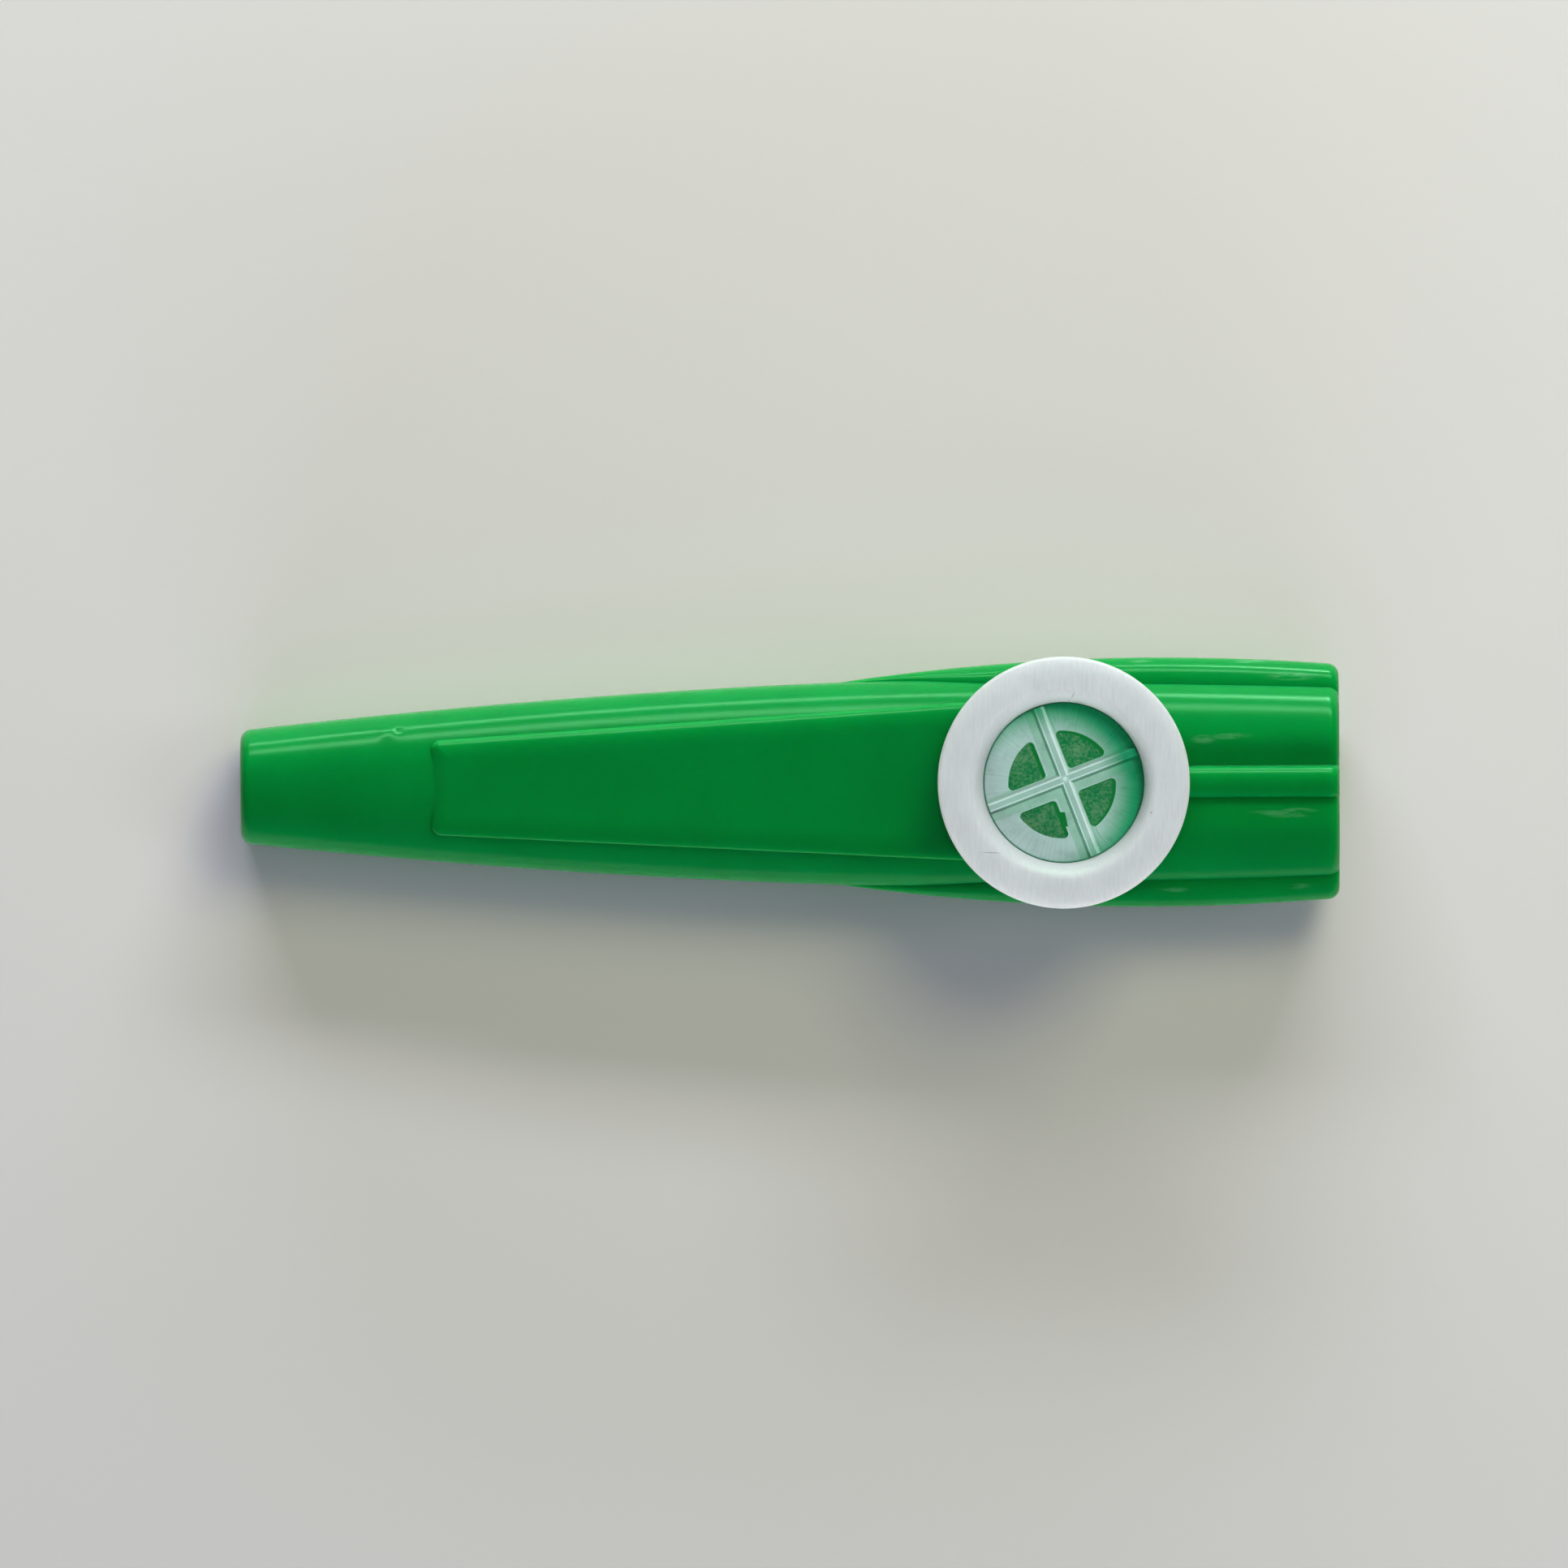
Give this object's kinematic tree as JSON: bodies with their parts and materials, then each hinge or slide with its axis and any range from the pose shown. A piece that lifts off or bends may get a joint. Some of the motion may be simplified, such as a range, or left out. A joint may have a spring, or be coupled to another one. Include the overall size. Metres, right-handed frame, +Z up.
{
  "type": "kazoo",
  "caption": "Moulded plastic kazoo: tapered hollow body with side wings and a raised panel, a round turret, a push-on cap with a hole, and a cross-barred guard over a thin membrane.",
  "frame": {"origin": "under the middle of the body, on the surface that the kazoo lies on", "axes": "+X towards the wide mouth end, +Y to its left side seen from the narrow end, +Z up through the turret"},
  "size_m": [0.115, 0.0262, 0.0206],
  "materials": {
    "body_plastic": "glossy green moulded plastic",
    "cap_plastic": "satin white plastic with fine scuffs",
    "guard_plastic": "frosted see-through plastic",
    "membrane_film": "thin speckled film"
  },
  "bodies": {
    "kazoo_body": {"body": "body_plastic"},
    "cap": {"turret_cap": "cap_plastic"},
    "resonator": {"resonator_guard": "guard_plastic", "membrane": "membrane_film"}
  },
  "joints": [
    {"name": "cap_lift", "type": "slide", "parent": "kazoo_body", "child": "cap", "axis": [0, 0, 1], "range_m": [0, 0.024]},
    {"name": "resonator_lift", "type": "slide", "parent": "kazoo_body", "child": "resonator", "axis": [0, 0, 1], "range_m": [0, 0.012]}
  ],
  "couplings": [
    {"joint": "resonator_lift", "follows": "cap_lift", "ratio": 0.5}
  ]
}
